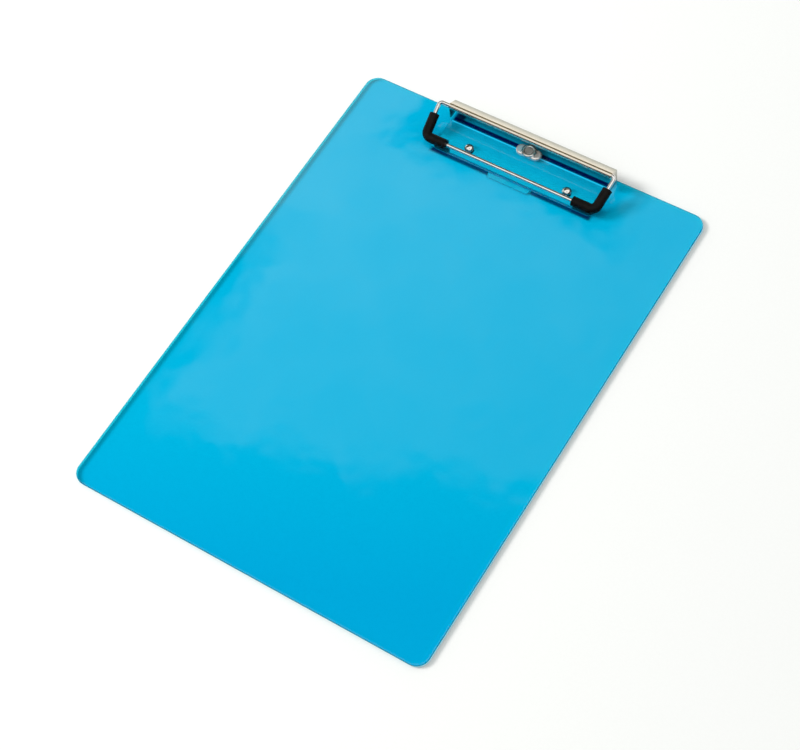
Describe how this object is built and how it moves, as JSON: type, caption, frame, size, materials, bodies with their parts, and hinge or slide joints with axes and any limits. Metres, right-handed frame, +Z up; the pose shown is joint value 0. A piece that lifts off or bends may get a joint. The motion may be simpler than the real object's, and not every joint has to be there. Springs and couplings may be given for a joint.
{
  "type": "clipboard",
  "caption": "Clear-tinted writing board with rounded corners and a low hinged wire clip with rubber grips and a metal-rimmed hanging hole.",
  "frame": {"origin": "centre of the board's underside, the face it rests on", "axes": "+Z up out of the writing face, +Y towards the clip, +X to the right of a writer"},
  "size_m": [0.2286, 0.3182, 0.0153],
  "materials": {
    "board_plastic": "see-through blue, polished",
    "clip_steel": "nickel plated, bright",
    "bail_wire": "bright plated wire",
    "grip_rubber": "smooth black",
    "rivet_metal": "nickel plated, bright",
    "collar_metal": "nickel plated, bright"
  },
  "bodies": {
    "base": {"board": "board_plastic", "clip_plate": "clip_steel", "rivet_left": "rivet_metal", "rivet_right": "rivet_metal", "hanging_eyelet": "rivet_metal", "eyelet_collar": "collar_metal"},
    "bail": {"wire_bail": "bail_wire", "grip_left": "grip_rubber", "grip_right": "grip_rubber"}
  },
  "joints": [
    {"name": "bail_swing", "type": "hinge", "parent": "base", "child": "bail", "pos_m": [0, 0.1531, 0.0134], "axis": [-1, 0, 0], "range_deg": [0, 95], "stiffness_Nm_per_rad": 0.12, "springref_deg": -51.57}
  ]
}
